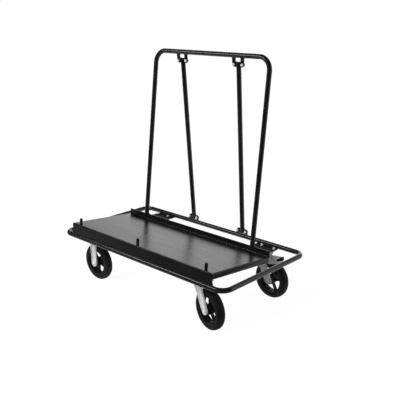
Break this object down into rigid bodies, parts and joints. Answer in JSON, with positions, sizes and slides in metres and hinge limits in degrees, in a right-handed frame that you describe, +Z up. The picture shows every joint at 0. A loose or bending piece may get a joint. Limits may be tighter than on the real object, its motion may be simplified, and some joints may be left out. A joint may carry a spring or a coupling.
{
  "type": "drywall cart",
  "caption": "Black drywall cart with a sloping sheet deck, edge pegs, a leaning tubular back frame, two fixed casters and two swivel casters, one of them braked.",
  "frame": {"origin": "on the floor, under the middle of the base loop", "axes": "+X along the cart towards the swivel casters, +Y from the apron to the back frame, +Z up"},
  "size_m": [1.18, 0.628, 1.22],
  "materials": {
    "black_paint": "satin",
    "deck_paint": "satin",
    "zinc_plate": "satin",
    "tyre_rubber": "matte",
    "wheel_core": "matte",
    "moulded_black": "matte"
  },
  "bodies": {
    "cart_frame": {"base_loop_left": "black_paint", "base_loop_right": "black_paint", "front_bearer": "black_paint", "rear_bearer": "black_paint", "cross_bearer_left": "black_paint", "cross_bearer_right": "black_paint", "left_caster_plates": "black_paint", "right_caster_plates": "black_paint", "deck_panel": "deck_paint", "deck_ribs": "black_paint", "edge_pegs": "moulded_black", "peg_washers": "zinc_plate", "peg_nuts": "zinc_plate", "back_frame": "black_paint", "leg_bolts": "black_paint", "leg_nuts": "zinc_plate", "brace_left": "black_paint", "brace_right": "black_paint", "bar_lugs": "black_paint", "tube_lugs": "black_paint", "brace_bolts": "zinc_plate", "brace_nuts": "zinc_plate", "caster_bolts": "zinc_plate", "caster_nuts": "zinc_plate", "front_left_fork": "zinc_plate", "front_left_spacer": "zinc_plate", "rear_left_fork": "zinc_plate", "rear_left_spacer": "zinc_plate", "fixed_axles": "zinc_plate", "fixed_axle_nuts": "zinc_plate", "front_right_top_plate": "zinc_plate", "front_right_kingpin": "zinc_plate", "front_right_balls": "zinc_plate", "rear_right_top_plate": "zinc_plate", "rear_right_kingpin": "zinc_plate", "rear_right_balls": "zinc_plate"},
    "front_right_swivel": {"front_right_fork": "zinc_plate", "front_right_axle": "zinc_plate", "front_right_axle_nut": "zinc_plate", "front_right_spacer": "zinc_plate"},
    "front_right_wheel": {"front_right_core": "wheel_core", "front_right_tyre": "tyre_rubber"},
    "rear_right_swivel": {"rear_right_fork": "zinc_plate", "rear_right_axle": "zinc_plate", "rear_right_axle_nut": "zinc_plate", "rear_right_spacer": "zinc_plate", "rear_right_pedal_pin": "zinc_plate"},
    "rear_right_wheel": {"rear_right_core": "wheel_core", "rear_right_tyre": "tyre_rubber"},
    "rear_right_brake": {"rear_right_pedal": "zinc_plate", "rear_right_pedal_grip": "moulded_black"},
    "front_left_wheel": {"front_left_core": "wheel_core", "front_left_tyre": "tyre_rubber"},
    "rear_left_wheel": {"rear_left_core": "wheel_core", "rear_left_tyre": "tyre_rubber"}
  },
  "joints": [
    {"name": "front_right_swivel_turn", "type": "hinge", "parent": "cart_frame", "child": "front_right_swivel", "pos_m": [0.372, -0.211, 0.2325], "axis": [0, 0, 1], "continuous": true},
    {"name": "front_right_wheel_spin", "type": "hinge", "parent": "front_right_swivel", "child": "front_right_wheel", "pos_m": [0.42678, -0.22264, 0.1], "axis": [0.2079, 0.9781, 0], "continuous": true},
    {"name": "rear_right_swivel_turn", "type": "hinge", "parent": "cart_frame", "child": "rear_right_swivel", "pos_m": [0.372, 0.245, 0.2325], "axis": [0, 0, 1], "continuous": true},
    {"name": "rear_right_wheel_spin", "type": "hinge", "parent": "rear_right_swivel", "child": "rear_right_wheel", "pos_m": [0.42797, 0.24305, 0.1], "axis": [0.0349, 0.9994, 0], "continuous": true},
    {"name": "rear_right_brake_press", "type": "hinge", "parent": "rear_right_swivel", "child": "rear_right_brake", "pos_m": [0.376, 0.24486, 0.2085], "axis": [0.0349, 0.9994, 0], "range_deg": [0, 9]},
    {"name": "front_left_wheel_spin", "type": "hinge", "parent": "cart_frame", "child": "front_left_wheel", "pos_m": [-0.414, -0.211, 0.1], "axis": [0, 1, 0], "continuous": true},
    {"name": "rear_left_wheel_spin", "type": "hinge", "parent": "cart_frame", "child": "rear_left_wheel", "pos_m": [-0.414, 0.245, 0.1], "axis": [0, 1, 0], "continuous": true}
  ]
}
